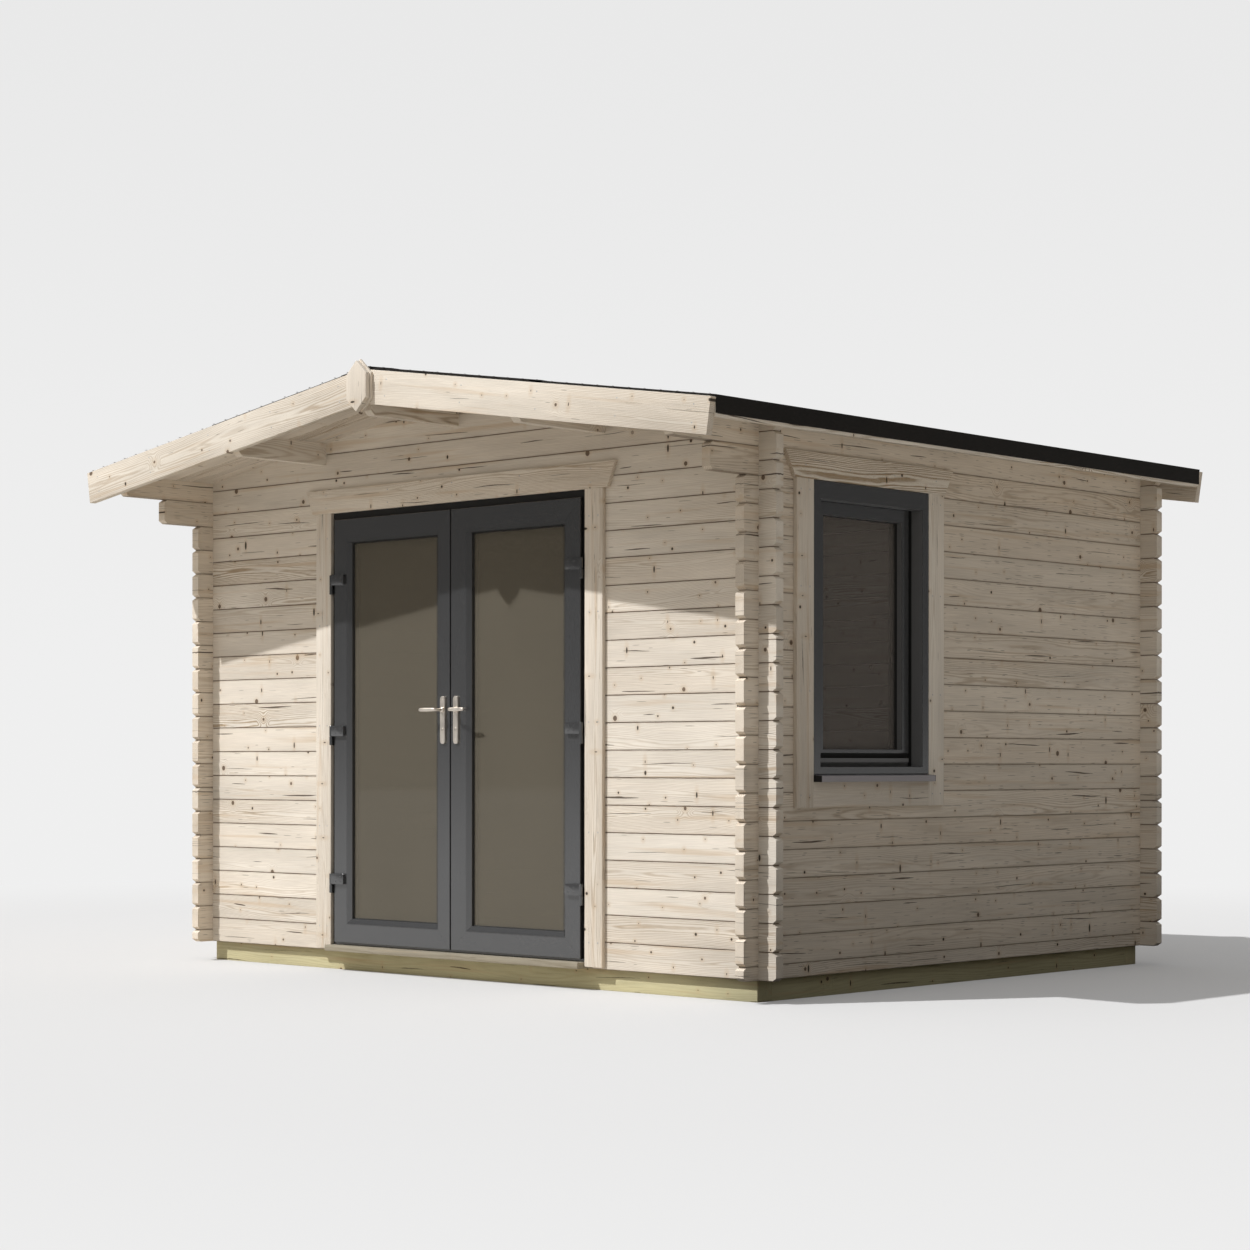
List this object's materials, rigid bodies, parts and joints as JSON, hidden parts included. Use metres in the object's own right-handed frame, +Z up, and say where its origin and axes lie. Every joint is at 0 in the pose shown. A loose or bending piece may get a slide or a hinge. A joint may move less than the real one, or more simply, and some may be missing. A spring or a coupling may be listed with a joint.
{
  "type": "log cabin",
  "caption": "Log cabin with a low gable roof, a deep front overhang, glazed double doors and a side window.",
  "frame": {"origin": "on the ground in the middle of the plan, under the ridge", "axes": "+Z up; the double doors face -Y; the window wall is on the +X side"},
  "size_m": [3.916, 3.605, 2.6609],
  "materials": {
    "spruce": "planed, untreated, with knots",
    "threshold_wood": "oiled hardwood",
    "treated_timber": "pressure treated, greenish",
    "anthracite": "satin anthracite",
    "door_glass": "clear, lightly tinted double glazing",
    "window_glass": "clear double glazing",
    "roof_felt": "matt black felt",
    "satin_steel": "satin",
    "grey_sill": "satin grey"
  },
  "bodies": {
    "cabin": {"base_frame": "treated_timber", "floor_boards": "spruce", "wall_front_left": "spruce", "wall_front_right": "spruce", "wall_front_gable": "spruce", "wall_rear": "spruce", "wall_left": "spruce", "wall_right": "spruce", "bracket_logs": "spruce", "top_logs": "spruce", "ridge_beam": "spruce", "purlins": "spruce", "roof_boards_left": "spruce", "roof_boards_right": "spruce", "roof_cover_left": "roof_felt", "roof_cover_right": "roof_felt", "eaves_boards": "spruce", "verge_boards_front": "spruce", "verge_boards_rear": "spruce", "finials": "spruce", "door_frame": "anthracite", "threshold": "threshold_wood", "door_trims": "spruce", "door_head_board": "spruce", "frame_hinges": "anthracite", "window_frame": "anthracite", "window_sash": "anthracite", "window_glass": "window_glass", "window_sill": "grey_sill", "window_trims": "spruce", "window_head_board": "spruce", "window_apron": "spruce"},
    "left_leaf": {"left_door_leaf": "anthracite", "left_door_glass": "door_glass", "left_door_hinges": "anthracite", "left_handle_plate": "satin_steel"},
    "right_leaf": {"right_door_leaf": "anthracite", "right_door_glass": "door_glass", "right_door_hinges": "anthracite", "right_handle_plate": "satin_steel"},
    "left_handle": {"left_lever": "satin_steel"},
    "right_handle": {"right_lever": "satin_steel"}
  },
  "joints": [
    {"name": "left_door_hinge", "type": "hinge", "parent": "cabin", "child": "left_leaf", "pos_m": [-0.794, -1.2525, 1.07], "axis": [0, 0, -1], "range_deg": [0, 100]},
    {"name": "right_door_hinge", "type": "hinge", "parent": "cabin", "child": "right_leaf", "pos_m": [0.794, -1.2525, 1.07], "axis": [0, 0, 1], "range_deg": [0, 100]},
    {"name": "left_lever_turn", "type": "hinge", "parent": "left_leaf", "child": "left_handle", "pos_m": [-0.05, -1.2495, 1.183], "axis": [0, -1, 0], "range_deg": [0, 40], "stiffness_Nm_per_rad": 1, "springref_deg": -34.38},
    {"name": "right_lever_turn", "type": "hinge", "parent": "right_leaf", "child": "right_handle", "pos_m": [0.033, -1.2495, 1.183], "axis": [0, 1, 0], "range_deg": [0, 40], "stiffness_Nm_per_rad": 1, "springref_deg": -34.38}
  ]
}
